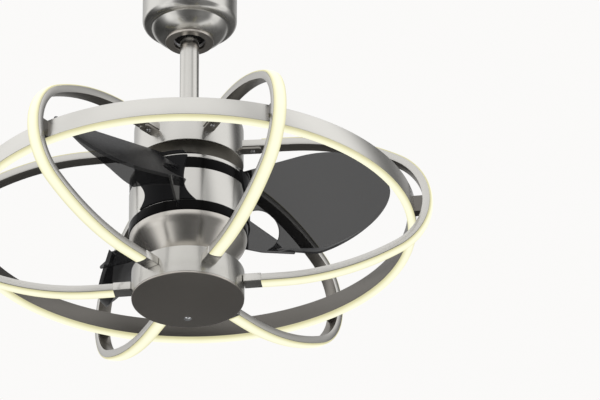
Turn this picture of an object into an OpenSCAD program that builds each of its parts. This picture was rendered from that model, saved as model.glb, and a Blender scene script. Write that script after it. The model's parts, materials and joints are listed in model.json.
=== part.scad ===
// Orbital ceiling fan. A motor with three broad blades hangs on a downrod. Six bent light arms
// start at the hub below the motor, carry a level light ring, and return over the blades to
// the housing above the motor.
// Heights are levels above the underside of the light hub. Sizes called drops are measured
// down from the ceiling, where the origin is. Millimetres throughout.

/* [Overall] */
// Ceiling to the underside of the light hub
drop = 500; // [480:5:900]
// Outer radius of the downrod
rod_r = 13.35; // [12:0.05:14]
// Thickness of the spun and pressed sheet metal
sheet = 1.5; // [1:0.1:2]

/* [Ceiling bracket] */
// Length of the bracket plate
plate_len = 126; // [110:1:127]
// Width of the bracket plate
plate_w = 44; // [36:1:50]
// Thickness of the bracket steel
plate_t = 2.5; // [2:0.1:3]
// Distance between the two ceiling screw slots
slot_spacing = 88.9; // [69.9:0.1:90]
// End-to-end length of a ceiling screw slot
slot_len = 12; // [8:1:16]
// Width of a ceiling screw slot
slot_w = 5; // [4:0.1:6]

/* [Hanger ball] */
// Drop of the ball's centre
ball_drop = 64; // [62:0.5:66]
// Radius of the ball
ball_r = 23; // [22:0.5:24]
// Clearance round the ball and round its seat
ball_gap = 0.3; // [0.2:0.05:0.4]
// Thickness of the seat
seat_t = 2.7; // [2:0.1:3]

/* [Canopy] */
// Outer radius of the canopy
canopy_r = 66.3; // [65.5:0.1:72]
// Drop of the canopy's shoulder edge
shelf_drop = 63.2; // [62:0.1:66]
// Outer radius of the bowl under the shoulder
bowl_r = 53.8; // [50:0.1:55]
// Drop of the canopy ring's underside
canopy_drop = 87; // [86:0.5:90]
// Outer radius of the canopy ring
canopy_ring_r = 33.6; // [32:0.1:36]
// Radius of the canopy ring's hole
canopy_hole_r = 22.7; // [21.5:0.1:24]

/* [Upper housing] */
// Outer radius of the upper housing
housing_r = 76.3; // [76:0.1:78]
// Level of the housing's bottom rim
housing_low = 213; // [211:1:215]
// Level of the housing's top
housing_top = 281; // [279:1:284]
// Rounding of the housing's top edge
housing_round = 6; // [3:0.5:8]
// Level of the top of the coupling cover
cover_top = 326; // [324:1:330]

/* [Motor] */
// Outer radius of the motor shell
shell_r = 82.4; // [82:0.1:83]
// Level of the shell's lower edge
shell_low = 112.7; // [112:0.1:113]
// Level of the shell's upper edge
shell_top = 164; // [163:0.5:165]
// Level of the top ring's upper face
top_ring_top = 180.5; // [180:0.1:181]
// Level of the blade plate's upper face
blade_plate_top = 186.3; // [186:0.1:187]
// Level of the bottom ring's lower face
bottom_ring_low = 98; // [97.8:0.1:98.4]
// Outer radius of the shaft
shaft_r = 10; // [9.5:0.1:10.2]
// Number of stator teeth
tooth_count = 12; // [9:3:12]
// Number of rotor magnets
magnet_count = 16; // [12:2:16]

/* [Blades] */
// Angle of the blade panel below the level
pitch = 46.98; // [46:0.1:48]
// Direction of the level line in the blade panel
blade_turn = -28.33; // [-29:0.1:-28]
// Level of the blade panel's plane at the fan's axis
panel_level = 230.65; // [230:0.1:231]
// Thickness of the blade panel
panel_t = 5; // [4:0.5:5]
// Radius of the round cut-out at the root
cutout_r = 31; // [29:0.5:32]

/* [Light hub and cone] */
// Outer radius of the light hub
hub_r = 78; // [77:0.1:79]
// Level of the top of the hub
hub_top = 43.2; // [42.5:0.1:44]
// Thickness of the bottom plate
bottom_plate_t = 2.6; // [2:0.1:3]
// Radius of the cone's top rim
cone_r = 81.5; // [81:0.1:82]
// Level of the cone's top rim
cone_top = 97.4; // [97:0.1:97.5]
// Slope of the cone's side from the upright
cone_slope = 36.9; // [36:0.1:38]
// Rounding below the cone's top rim
cone_round = 27.5; // [26:0.5:28]

/* [Light arms] */
// Direction of the first arm
arm_turn = -8.72; // [-9:0.1:-8]
// Width of the arm channel
arm_w = 19.1; // [18.5:0.1:19.5]
// Depth of the arm channel
arm_d = 10.2; // [9.8:0.1:10.6]
// Wall of the arm and ring channels
channel_wall = 1.5; // [1.2:0.1:1.8]
// Level of the arm's centre line where it leaves the hub
arm_low = 24; // [23:0.5:25]
// Distance from the axis at which the arm starts to rise
rise_start = 131; // [130:0.5:132]
// Radius of the rising bend
rise_r = 347.2; // [346:0.2:348]
// Turn of the rising bend
rise_a = 27.64; // [27.5:0.02:27.8]
// Radius of the outer bend
nose_r = 75.46; // [75:0.02:76]
// Turn of the outer bend
nose_a = 123.83; // [123.7:0.02:124]
// Radius of the returning bend
back_r = 329.8; // [329:0.2:331]
// Turn of the returning bend
back_a = 26.87; // [26.8:0.02:27]
// How far the arm's light cover stands out of its channel
arm_cover_h = 3; // [2.5:0.1:3.5]
// Distance from the axis at which the light covers start
light_start = 103; // [101:0.5:105]

/* [Light ring] */
// Outer radius of the ring
ring_r = 315.5; // [315:0.1:316]
// Width of the ring, inside to outside
ring_w = 12; // [11:0.1:12.5]
// Level of the ring metal's lower edge
ring_low = 111.3; // [111:0.1:112]
// Level of the ring's upper edge
ring_top = 137.6; // [137:0.1:138]
// Width of a ring bracket along the ring
ring_bracket_w = 15; // [12:0.5:17]

/* [Hidden] */

$fn = 96;
arm_count = 6;
blade_count = 3;
nickel = "#b9b4a8";
dark_nickel = "#5a554d";
black = "#1c1b1a";
smoke = "#4a4b4e";
warm_light = "#fff6cf";
steel = "#9a9c9e";
copper = "#b5652c";
circuit_green = "#2f5d3a";

// Moves a piece whose heights are levels into the frame of the ceiling
module level(h) translate([0, 0, h - drop]) children();

// Repeats a piece at the six arms
module at_arms() for (i = [0 : arm_count - 1]) rotate([0, 0, arm_turn + i * 360 / arm_count]) children();

// Repeats a piece n times round the axis
module around(n) for (i = [0 : n - 1]) rotate([0, 0, i * 360 / n]) children();

module tube(outer_r, inner_r, h) {
    difference() {
        cylinder(r = outer_r, h = h);
        translate([0, 0, -1]) cylinder(r = inner_r, h = h + 2);
    }
}

// A screw that points up, its head's top face at the origin
module screw(head_r, head_h, shank_r, shank_len) {
    translate([0, 0, -head_h]) cylinder(r = head_r, h = head_h, $fn = 32);
    cylinder(r = shank_r, h = shank_len, $fn = 24);
}

function arc(c, r, from, to, n) = [for (i = [0 : n])
    let (a = from + (to - from) * i / n) [c[0] + r * cos(a), c[1] + r * sin(a)]];

function bezier(a, b, c, d, n) = [for (i = [0 : n]) let (t = i / n, s = 1 - t)
    s * s * s * a + 3 * s * s * t * b + 3 * s * t * t * c + t * t * t * d];

// ---- Ceiling bracket and hanger ball ----

socket_r = ball_r + 2 * ball_gap + seat_t;
socket_t = 3;
socket_low = -34;
tab_r = 63.2;
tab_t = 2;
tab_w = 18;
tab_h = 14;
canopy_screw_drop = 10;
canopy_screw_r = 2;
wire_hole_r = 14;
leg_w = 28;

module hanger_bracket() color(steel) {
    difference() {
        union() {
            translate([0, 0, -plate_t]) intersection() {
                translate([-plate_len / 2, -plate_w / 2, 0]) cube([plate_len, plate_w, plate_t]);
                cylinder(r = tab_r, h = plate_t);
            }
            for (side = [0, 180]) rotate([0, 0, side]) {
                translate([tab_r - tab_t, -tab_w / 2, -plate_t - tab_h])
                    cube([tab_t - 0.4, tab_w, tab_h + 1]);
                translate([socket_r + 0.6, -leg_w / 2, -ball_drop])
                    cube([socket_t - 0.4, leg_w, ball_drop - 1]);
            }
            translate([0, 0, -ball_drop]) rotate_extrude() polygon(concat(
                arc([0, 0], socket_r + socket_t, socket_low, 0, 8),
                [[socket_r + socket_t, 5], [socket_r, 5]],
                arc([0, 0], socket_r, 0, socket_low, 8)));
        }
        for (side = [-1, 1]) translate([side * slot_spacing / 2, 0, -plate_t - 1]) {
            for (end = [-1, 1]) translate([end * (slot_len - slot_w) / 2, 0, 0])
                cylinder(r = slot_w / 2, h = 2 * plate_t, $fn = 32);
            translate([-(slot_len - slot_w) / 2, -slot_w / 2, 0])
                cube([slot_len - slot_w, slot_w, 2 * plate_t]);
        }
        translate([0, 0, -plate_t - 1]) cylinder(r = wire_hole_r, h = 2 * plate_t);
        translate([-tab_r - 1, 0, -canopy_screw_drop]) rotate([0, 90, 0])
            cylinder(r = canopy_screw_r + 0.1, h = 2 * tab_r + 2, $fn = 32);
        // The downrod passes through this side of the socket when the ball is dropped in
        translate([-rod_r - 1.2, -2 * socket_r, -ball_drop - socket_r])
            cube([2 * rod_r + 2.4, 2 * socket_r, socket_r + 6]);
    }
}

module ball_seat() color(black) translate([0, 0, -ball_drop]) rotate_extrude() polygon(concat(
    arc([0, 0], ball_r + ball_gap + seat_t, -38, -8, 8),
    arc([0, 0], ball_r + ball_gap, -8, -38, 8)));

module hanger_ball() color(black) translate([0, 0, -ball_drop]) difference() {
    sphere(r = ball_r);
    translate([0, 0, -2 * ball_r]) cylinder(r = rod_r + 0.05, h = 4 * ball_r);
    translate([0, 0, pin_rise]) rotate([0, 90, 0]) cylinder(r = pin_r + 0.05, h = 4 * ball_r, center = true);
    translate([-2 * ball_r, -2 * ball_r, 14]) cube(4 * ball_r);
}

pin_r = 3;
pin_rise = 5;
pin_len = 42;
yoke_low = housing_top;
yoke_top = housing_top + 37;
yoke_pin_level = housing_top + 26;
rod_end = housing_top + 9;

module at_pins() {
    translate([0, 0, pin_rise - ball_drop]) rotate([0, 90, 0]) children();
    level(yoke_pin_level) rotate([0, 90, 0]) children();
}

module hanger_pins() color(steel) at_pins() cylinder(r = pin_r, h = pin_len, center = true);

module downrod() color(nickel) difference() {
    level(rod_end) cylinder(r = rod_r, h = drop - rod_end - ball_drop + 16);
    level(rod_end - 1) cylinder(r = rod_r - 2.9, h = drop);
    at_pins() cylinder(r = pin_r + 0.05, h = 4 * rod_r, center = true);
}

// ---- Canopy ----

shoulder = 12;
bowl_bulge = 34;
canopy_edge = 4;

// Middle of a round profile of radius r from p to q, which bulges to the right of p to q
function bulge_centre(p, q, r) = let (m = (p + q) / 2, d = (q - p) / norm(q - p),
    h = sqrt(r * r - pow(norm(q - p) / 2, 2))) m + h * [-d[1], d[0]];
function heading(c, p) = atan2(p[1] - c[1], p[0] - c[0]);

module canopy() color(nickel) {
    low = [canopy_ring_r - 0.4, -canopy_drop + canopy_edge];
    rim = [bowl_r, -shelf_drop - 0.8];
    c = bulge_centre(low, rim, bowl_bulge);
    difference() {
        rotate_extrude() polygon(concat(
            [[canopy_r - sheet, 0], [canopy_r, 0]],
            arc([canopy_r - shoulder, -shelf_drop + shoulder], shoulder, 0, -88, 10),
            arc(c, bowl_bulge, heading(c, rim), heading(c, low), 12),
            [low - [3, 0], low + [-3, sheet]],
            arc(c, bowl_bulge - sheet, heading(c, low), heading(c, rim), 12),
            [[canopy_r - shoulder, -shelf_drop + sheet]],
            arc([canopy_r - shoulder, -shelf_drop + shoulder], shoulder - sheet, -88, 0, 10)));
        translate([0, 0, -canopy_screw_drop]) rotate([0, 90, 0])
            cylinder(r = canopy_screw_r + 0.1, h = 3 * canopy_r, center = true, $fn = 32);
    }
}

module canopy_ring() color(nickel) translate([0, 0, -canopy_drop]) rotate_extrude() polygon([
    [canopy_hole_r, 0], [canopy_ring_r, 0], [canopy_ring_r, canopy_edge - 0.1],
    [canopy_hole_r + 1.5, canopy_edge - 0.1], [canopy_hole_r + 1.5, canopy_edge + 1],
    [canopy_hole_r, canopy_edge + 1]]);

module canopy_screws() color(steel) for (side = [0, 180]) rotate([0, 0, side])
    translate([canopy_r + 0.05, 0, -canopy_screw_drop]) rotate([0, -90, 0])
        screw(3.6, 2.2, canopy_screw_r, 8);

// ---- Coupling and upper housing ----

yoke_r = 19;
yoke_flange_r = 34;
yoke_flange_t = 4;
yoke_screw_pcd_r = 27;
yoke_screw_r = 2.5;
shaft_flange_t = 3.5;
cover_r = 38;
slot_clear = 0.2;
bracket_t = 3;
bracket_in = 72;
bracket_w = 15;

module yoke() color(steel) difference() {
    level(yoke_low) union() {
        cylinder(r = yoke_flange_r, h = yoke_flange_t);
        cylinder(r = yoke_r, h = yoke_top - yoke_low);
    }
    level(rod_end - 0.05) cylinder(r = rod_r + 0.05, h = 60);
    level(yoke_low - 1) cylinder(r = shaft_r - 2, h = 60);
    level(yoke_pin_level) rotate([0, 90, 0]) cylinder(r = pin_r + 0.05, h = 4 * rod_r, center = true);
    around(3) translate([yoke_screw_pcd_r, 0, 0]) level(yoke_low - 1)
        cylinder(r = yoke_screw_r + 0.2, h = yoke_flange_t + 2, $fn = 32);
}

module yoke_screws() color(steel) around(3) translate([yoke_screw_pcd_r, 0, 0])
    level(yoke_low + yoke_flange_t + 0.02) rotate([180, 0, 0])
        screw(4.5, 3.5, yoke_screw_r, yoke_flange_t + sheet + shaft_flange_t);

module coupling_cover() color(nickel) level(housing_top) {
    h = cover_top - housing_top;
    rise = 12;
    neck_r = 22;
    in = sheet;
    rotate_extrude() polygon(concat(
        [[cover_r - in, 0], [cover_r, 0]],
        bezier([cover_r, rise], [cover_r, rise + 14], [neck_r + 4, h - 12], [neck_r, h], 12),
        [[rod_r + 0.4, h], [rod_r + 0.4, h - in]],
        bezier([neck_r - in, h - in], [neck_r + 4 - in, h - 12 - in], [cover_r - in, rise + 14 - in],
            [cover_r - in, rise], 12)));
}

module upper_housing() color(nickel) difference() {
    h = housing_top - housing_low;
    level(housing_low) rotate_extrude() polygon(concat(
        [[housing_r - sheet, 0], [housing_r, 0]],
        arc([housing_r - housing_round, h - housing_round], housing_round, 0, 90, 8),
        [[shaft_r - 2, h], [shaft_r - 2, h - sheet]],
        arc([housing_r - housing_round, h - housing_round], housing_round - sheet, 90, 0, 8)));
    around(3) translate([yoke_screw_pcd_r, 0, 0]) level(housing_top - 2 * sheet)
        cylinder(r = yoke_screw_r + 0.2, h = 3 * sheet, $fn = 32);
    at_arms() under_arm(housing_r - 10) translate([0, -bracket_w / 2 - slot_clear, -bracket_t - slot_clear])
        cube([20, bracket_w + 2 * slot_clear, bracket_t + 2 * slot_clear]);
}

module housing_floor() color(dark_nickel) level(housing_low + 0.5) rotate_extrude() polygon([
    [38, 0], [housing_r - sheet - 0.1, 0], [housing_r - sheet - 0.1, 10],
    [housing_r - 2 * sheet - 0.1, 10], [housing_r - 2 * sheet - 0.1, 2], [40, 2], [40, 5], [38, 5]]);

module remote_receiver() color(black) level(housing_top - sheet - 20.05) translate([-28, 35, 0])
    cube([56, 26, 20]);

// ---- Shaft, bearings and motor ----

bearing_r = 21;
bearing_h = 12;
lower_bearing = 104;
upper_bearing = 161;
race_ball_r = 3.2;
race_mid_r = 15.4;
inner_race_r = 13.2;
outer_race_r = 17.6;
core_low = 122;
core_top = 158;
core_r = 64.5;
core_back_r = 30;
tooth_w = 5.5;
shoe_t = 4;
slot_mouth = 3.5;
coil_t = 3.5;
coil_in = 34;
coil_len = 25;
magnet_in = 65.2;
magnet_out = 70.4;
bell_r = 74;
fit = 0.05;

module motor_shaft() color(steel) difference() {
    union() {
        level(30) cylinder(r = shaft_r, h = housing_top - sheet - 30 - fit);
        level(housing_top - sheet - shaft_flange_t - fit) cylinder(r = 31, h = shaft_flange_t);
    }
    level(29) cylinder(r = shaft_r - 4, h = drop);
    around(3) translate([yoke_screw_pcd_r, 0, 0]) level(housing_top - sheet - shaft_flange_t - 1)
        cylinder(r = yoke_screw_r + fit, h = shaft_flange_t + 2, $fn = 32);
}

module shaft_spacers() color(steel) {
    for (span = [[hub_top + sheet + fit, lower_bearing], [lower_bearing + bearing_h, core_low],
            [core_top, upper_bearing], [upper_bearing + bearing_h, housing_low - 8]])
        level(span[0] + fit) tube(inner_race_r, shaft_r + fit, span[1] - span[0] - 2 * fit);
}

module shaft_nut() color(steel) level(hub_top - sheet - 6 - fit) difference() {
    cylinder(r = 16, h = 6, $fn = 6);
    translate([0, 0, -1]) cylinder(r = shaft_r + fit, h = 8);
}

// One race of both bearings, with the groove that its balls run in
module races(in_r, out_r, groove_r) for (low = [lower_bearing, upper_bearing]) level(low) difference() {
    tube(out_r, in_r, bearing_h);
    translate([0, 0, bearing_h / 2]) rotate_extrude() translate([race_mid_r, 0])
        circle(r = groove_r, $fn = 32);
}

module bearing_inner_races() color(steel) races(shaft_r + fit, inner_race_r, race_ball_r + 0.35);

module bearing_outer_races() color(steel) races(outer_race_r, bearing_r, race_ball_r + fit);

module bearing_balls() color("silver") for (low = [lower_bearing, upper_bearing])
    level(low + bearing_h / 2) around(9) translate([race_mid_r, 0, 0]) sphere(r = race_ball_r, $fn = 24);

module motor_stator() color(steel) level(core_low) linear_extrude(core_top - core_low) difference() {
    union() {
        circle(r = core_back_r);
        around(tooth_count) translate([core_back_r - 2, -tooth_w / 2])
            square([core_r - core_back_r - 1, tooth_w]);
        difference() {
            circle(r = core_r);
            circle(r = core_r - shoe_t);
        }
    }
    circle(r = shaft_r + fit);
    around(tooth_count) rotate([0, 0, 180 / tooth_count]) translate([core_r - shoe_t - 1, -slot_mouth / 2])
        square([shoe_t + 2, slot_mouth]);
}

module stator_coils() color(copper) level(core_low - coil_t / 2) around(tooth_count)
    translate([coil_in, 0, 0]) difference() {
        coil_w = tooth_w + 2 * coil_t;
        translate([0, -coil_w / 2, 0]) cube([coil_len, coil_w, core_top - core_low + coil_t]);
        translate([-1, -tooth_w / 2 - fit, coil_t / 2 - fit])
            cube([coil_len + 2, tooth_w + 2 * fit, core_top - core_low + 2 * fit]);
    }

module rotor_bell() color(dark_nickel) level(0) rotate_extrude() polygon([
    [bearing_r + fit, 160], [bearing_r + 4, 160], [bearing_r + 4, 174], [magnet_out + 0.1, 174],
    [magnet_out + 0.1, 114.1], [bell_r, 114.1], [bell_r, 177.9], [outer_race_r, 177.9],
    [outer_race_r, 173.1], [bearing_r + fit, 173.1]]);

module rotor_end_cap() color(dark_nickel) level(0) rotate_extrude() polygon([
    [outer_race_r, 102], [bearing_r + 4, 102], [bearing_r + 4, 111], [bell_r, 111],
    [bell_r, 114], [bearing_r + 4, 114], [bearing_r + 4, 116], [bearing_r + fit, 116],
    [bearing_r + fit, 103.9], [outer_race_r, 103.9]]);

module rotor_magnets() color("dimgray") level(120) around(magnet_count)
    rotate_extrude(angle = 0.9 * 360 / magnet_count) translate([magnet_in, 0])
        square([magnet_out - magnet_in, 40]);

module motor_shell() color(nickel) level(shell_low + fit)
    tube(shell_r, shell_r - sheet, shell_top - shell_low - 2 * fit);

module top_ring() color(black) level(0) rotate_extrude() polygon([
    [26, 178], [shell_r - 4, 178], [shell_r - 4, shell_top - 5], [shell_r - sheet - 0.1, shell_top - 5],
    [shell_r - sheet - 0.1, shell_top], [shell_r - 0.4, shell_top], [shell_r - 0.4, top_ring_top],
    [26, top_ring_top]]);

module bottom_ring() color(black) level(0) rotate_extrude() polygon([
    [26, 108], [shell_r - 4, 108], [shell_r - 4, bottom_ring_low], [shell_r + 0.1, bottom_ring_low],
    [shell_r + 0.1, shell_low], [shell_r - sheet - 0.1, shell_low], [shell_r - sheet - 0.1, shell_low + 5],
    [shell_r - 4, shell_low + 5], [shell_r - 4, 110.9], [26, 110.9]]);

// ---- Blades ----

blade_screw_at = [[57, 24], [74, 18]];

module blade_plate() color(nickel) difference() {
    level(0) rotate_extrude() polygon([
        [26, blade_plate_top - 3], [shell_r - 3.5, blade_plate_top - 3],
        [shell_r - 3.5, top_ring_top + fit], [shell_r - 0.1, top_ring_top + fit],
        [shell_r - 0.1, blade_plate_top], [26, blade_plate_top]]);
    around(blade_count) for (p = blade_screw_at) translate([p[0], p[1], 0]) level(blade_plate_top - 5)
        cylinder(r = 2.05, h = 8, $fn = 32);
}

// The blade panel is drawn flat: x runs outward along the level line, y down the slope
root_x = 42;
lead_y = 38;
tip = [268.5, 116];
trail = [165, 181];
root_low = [65, 158];
cutout_at = [65, 127];
root_gap = 0.1;
tongue_t = 4;
pillar_t = 3;
rib_t = 3;
rib_depth = 27;

function lower_edge() = concat(
    bezier(tip, [270, 145], [225, 176], trail, 14),
    bezier(trail, [140, 183], [115, 172], root_low, 12));

module in_panel() level(panel_level) rotate([0, 0, blade_turn]) rotate([-pitch, 0, 0]) children();

module panel() in_panel() translate([0, 0, -panel_t / 2]) linear_extrude(panel_t) difference() {
    polygon(concat([[root_x, lead_y]],
        bezier([trail[0], lead_y], [218, 36], [268, 64], tip, 14),
        lower_edge(), [cutout_at, [40, 104]]));
    translate(cutout_at) circle(r = cutout_r, $fn = 72);
}

// The rib under the lower edge, deepest behind the middle of the blade
module lower_rib() in_panel() intersection() {
    translate([0, 0, -rib_depth]) linear_extrude(rib_depth) difference() {
        polygon(concat(lower_edge(), [cutout_at]));
        translate([0, -rib_t]) polygon(concat(lower_edge(), [[40, 100], [200, 60]]));
        translate(cutout_at) circle(r = cutout_r, $fn = 72);
    }
    rotate([90, 0, 0]) translate([0, 0, -200]) linear_extrude(200) polygon([
        [60, 0], [60, -9], [90, -10.5], [123, -16.5], [150, -rib_depth], [169, -19], [193, -10],
        [215, -1], [215, 0]]);
}

// The upright web between the panel and the motor
module web() level(0) translate([0, 50, 0]) rotate([90, 0, 0]) linear_extrude(3) polygon([
    [60, 165.6], [150, 109], [150, 100], [119, 105.5], [60, 105.5]]);

// The skin on the motor shell, with a waisted outline seen from the blade's side
module pillar() level(0) intersection() {
    translate([0, 0, shell_low + 0.1]) tube(shell_r + root_gap + pillar_t, shell_r + root_gap, 71);
    rotate([90, 0, 90]) linear_extrude(100) polygon(concat(
        bezier([-38, 183], [-36, 152], [-14, 130], [-30, 112], 8),
        bezier([50, 112], [34, 128], [27, 150], [22, 183], 8)));
}

// The tongue on the blade plate, which takes the screws
module tongue() level(blade_plate_top + 0.05) linear_extrude(tongue_t) difference() {
    intersection() {
        polygon([[46, -4], [90, -30], [90, 36], [46, 34]]);
        circle(r = shell_r + root_gap + pillar_t);
    }
    for (p = blade_screw_at) translate(p) circle(r = 2.2, $fn = 32);
}

module blade(turn) color(smoke, 0.85) rotate([0, 0, turn]) {
    difference() {
        union() {
            panel();
            lower_rib();
            web();
            pillar();
        }
        level(0) cylinder(r = shell_r + root_gap, h = blade_plate_top + fit);
    }
    tongue();
}

module blade_screws() color(steel) around(blade_count) for (p = blade_screw_at)
    translate([p[0], p[1], 0]) level(blade_plate_top + tongue_t + 0.1) rotate([180, 0, 0])
        screw(3.8, 2.4, 2, tongue_t + 3);

// ---- Cone and light hub ----

lens_y = 53;
lens_r = 5.5;
lens_h = 2.5;
dome_r = (lens_r * lens_r + lens_h * lens_h) / (2 * lens_h);
ledge_r = 72;

function cone_line(in) = let (c = [cone_r - cone_round, cone_top],
    knee = c + (cone_round - in) * [cos(cone_slope), -sin(cone_slope)])
    concat([[knee[0] - (knee[1] - hub_top - fit) * tan(cone_slope), hub_top + fit]],
        arc(c, cone_round - in, -cone_slope, 0, 8));

module lower_cone() color(nickel) level(0) {
    inner = cone_line(sheet);
    rotate_extrude() polygon(concat(
        [[shaft_r + fit, hub_top + fit]], cone_line(0),
        [for (i = [len(inner) - 1 : -1 : 1]) inner[i]],
        [[inner[0][0] + sheet * tan(cone_slope), hub_top + fit + sheet],
            [shaft_r + fit, hub_top + fit + sheet]]));
}

module light_hub() color(nickel) difference() {
    low = bottom_plate_t + fit;
    wall_r = hub_r - sheet;
    level(0) rotate_extrude() polygon([
        [wall_r, low], [hub_r, low], [hub_r, hub_top], [shaft_r + fit, hub_top],
        [shaft_r + fit, hub_top - sheet], [wall_r, hub_top - sheet], [wall_r, low + 5], [ledge_r, low + 5],
        [ledge_r, low + 3.5], [wall_r, low + 3.5]]);
    at_arms() level(arm_low) translate([ledge_r + 1, 0, 0]) rotate([0, 90, 0])
        cylinder(r = sleeve_screw_r + 0.2, h = hub_r - ledge_r + 2, $fn = 32);
}

module bottom_plate() color(dark_nickel) difference() {
    union() {
        level(0) cylinder(r = hub_r - 0.3, h = bottom_plate_t);
        around(3) level(bottom_plate_t - 0.1) {
            translate([ledge_r - 4, -8, 0]) cube([2.5, 16, 8]);
            translate([ledge_r - 4, -8, 5.3]) cube([6, 16, 2.5]);
        }
    }
    level(-1) translate([0, lens_y, 0]) cylinder(r = lens_r - 1, h = 6, $fn = 48);
}

module sensor_lens() color("white") level(0) translate([0, lens_y, 0]) {
    difference() {
        translate([0, 0, dome_r - lens_h]) sphere(r = dome_r, $fn = 48);
        translate([-2 * dome_r, -2 * dome_r, -fit]) cube(4 * dome_r);
    }
    translate([0, 0, -0.5]) cylinder(r = lens_r - 1 - fit, h = 6, $fn = 48);
}

module led_driver() color("white") level(hub_top - sheet - 24.05) translate([-38, 22, 0]) cube([76, 34, 24]);

module motor_driver() color(black) level(hub_top - sheet - 24.05) translate([-38, -56, 0]) cube([76, 34, 24]);

// ---- Light arms ----

// Stations of the arm's centre line: distance from the axis, level and heading. The light
// faces away from the bends' centres.
rise_c = [rise_start, arm_low + rise_r];
nose_c = rise_c + (rise_r - nose_r) * [sin(rise_a), -cos(rise_a)];
nose_end = rise_a + nose_a;
back_c = nose_c + (nose_r - back_r) * [sin(nose_end), -cos(nose_end)];
back_end = nose_end + back_a;
back_p = back_c + back_r * [sin(back_end), -cos(back_end)];
arm_in = hub_r + 2.2;
arm_out = housing_r + 0.15;
led_t = 1;
tongue_d = 3;

function back_level(r) = back_p[1] + (back_p[0] - r) * tan(180 - back_end);
function bend(c, r, from, to, n) = [for (i = [0 : n])
    let (a = from + (to - from) * i / n) [c[0] + r * sin(a), c[1] - r * cos(a), a]];
function stations(from, to) = concat(
    [[from, arm_low, 0]],
    bend(rise_c, rise_r, 0, rise_a, 10),
    bend(nose_c, nose_r, rise_a, nose_end, 40),
    bend(back_c, back_r, nose_end, back_end, 10),
    [[to, back_level(to), back_end]]);
function offset_line(line, d) = [for (s = line) [s[0] + d * sin(s[2]), s[1] - d * cos(s[2])]];
function backwards(list) = [for (i = [len(list) - 1 : -1 : 0]) list[i]];

// The underside of the arm's returning end, at a distance from the axis
module under_arm(r) level(back_level(r)) translate([r, 0, 0]) rotate([0, 180 - back_end, 0])
    translate([0, 0, -arm_d / 2]) children();

// A strip along the arm between two offsets from its centre line
module strip(w, low, high, from, to) level(0) rotate([90, 0, 0]) translate([0, 0, -w / 2])
    linear_extrude(w) polygon(concat(offset_line(stations(from, to), high),
        backwards(offset_line(stations(from, to), low))));

module arm_channel(i) color(nickel) rotate([0, 0, arm_turn + i * 360 / arm_count]) difference() {
    strip(arm_w, -arm_d / 2, arm_d / 2, arm_in, arm_out);
    strip(arm_w - 2 * channel_wall, channel_wall - arm_d / 2, arm_d, arm_in - 1, arm_out - 1);
    under_arm(bracket_screw_r) translate([0, 0, -2]) cylinder(r = bracket_screw_size + 0.1, h = 6, $fn = 32);
}

module arm_light(i) color(warm_light) rotate([0, 0, arm_turn + i * 360 / arm_count]) {
    strip(arm_w - 2 * channel_wall - 0.1, arm_d / 2 - tongue_d, arm_d / 2, light_start, light_start);
    strip(arm_w - 0.5, arm_d / 2 + 0.02, arm_d / 2 + arm_cover_h * 0.6, light_start, light_start);
    strip(arm_w - 2.1, arm_d / 2, arm_d / 2 + arm_cover_h, light_start, light_start);
}

module arm_led_strips() color(circuit_green) at_arms()
    strip(12, channel_wall - arm_d / 2 + 0.02, channel_wall - arm_d / 2 + led_t, light_start, light_start);

sleeve_wall = 0.95;
sleeve_screw_r = 2;
bracket_screw_r = 90;
bracket_screw_size = 2;

module arm_sleeves() color(nickel) at_arms() level(arm_low) difference() {
    translate([hub_r + 0.1, -arm_w / 2 - sleeve_wall, -arm_d / 2 - sleeve_wall])
        cube([light_start - hub_r - 0.2, arm_w + 2 * sleeve_wall, arm_d + 2 * sleeve_wall]);
    translate([hub_r + 2.1, -arm_w / 2 - 0.05, -arm_d / 2 - 0.05])
        cube([light_start, arm_w + 0.1, arm_d + 0.1]);
    translate([hub_r - 2, 0, 0]) rotate([0, 90, 0])
        cylinder(r = sleeve_screw_r + fit, h = light_start - hub_r, $fn = 32);
}

module sleeve_screws() color(steel) at_arms() level(arm_low) translate([hub_r - sheet - 0.35, 0, 0])
    rotate([0, 90, 0]) screw(3.6, 2.2, sleeve_screw_r, 3.6);

module upper_brackets() color(dark_nickel) at_arms() difference() {
    under_arm(bracket_in) translate([0, -bracket_w / 2, -bracket_t - fit]) {
        cube([light_start - bracket_in, bracket_w, bracket_t]);
        cube([2, bracket_w, 16]);
    }
    under_arm(bracket_screw_r) translate([0, 0, -2 * bracket_t])
        cylinder(r = bracket_screw_size + 0.1, h = 3 * bracket_t, $fn = 32);
}

module bracket_screws() color(steel) at_arms() under_arm(bracket_screw_r)
    translate([0, 0, -bracket_t - 2 * fit]) screw(3.6, 2, bracket_screw_size, bracket_t + 4);

// ---- Light ring ----

ring_in = ring_r - ring_w;
ring_cover_r = 6;

module ring_channel() color(nickel) level(0) rotate_extrude($fn = 180) polygon([
    [ring_in, ring_low], [ring_in + channel_wall, ring_low], [ring_in + channel_wall, ring_low + 14],
    [ring_r - channel_wall, ring_low + 14], [ring_r - channel_wall, ring_low], [ring_r, ring_low],
    [ring_r, ring_top], [ring_in, ring_top]]);

module ring_light() color(warm_light) level(ring_low - 0.05) rotate_extrude($fn = 180) polygon(concat(
    [[ring_in + channel_wall + 0.05, 3], [ring_in + channel_wall + 0.05, 0]],
    arc([ring_in + ring_w / 2, -0.8], ring_cover_r - 0.1, 180, 360, 16),
    [[ring_r - channel_wall - 0.05, 0], [ring_r - channel_wall - 0.05, 3]]));

module ring_led_strip() color(circuit_green) level(ring_low + 14 - led_t - 0.02) rotate_extrude($fn = 180)
    translate([ring_in + 2, 0]) square([ring_w - 4, led_t]);

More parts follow.
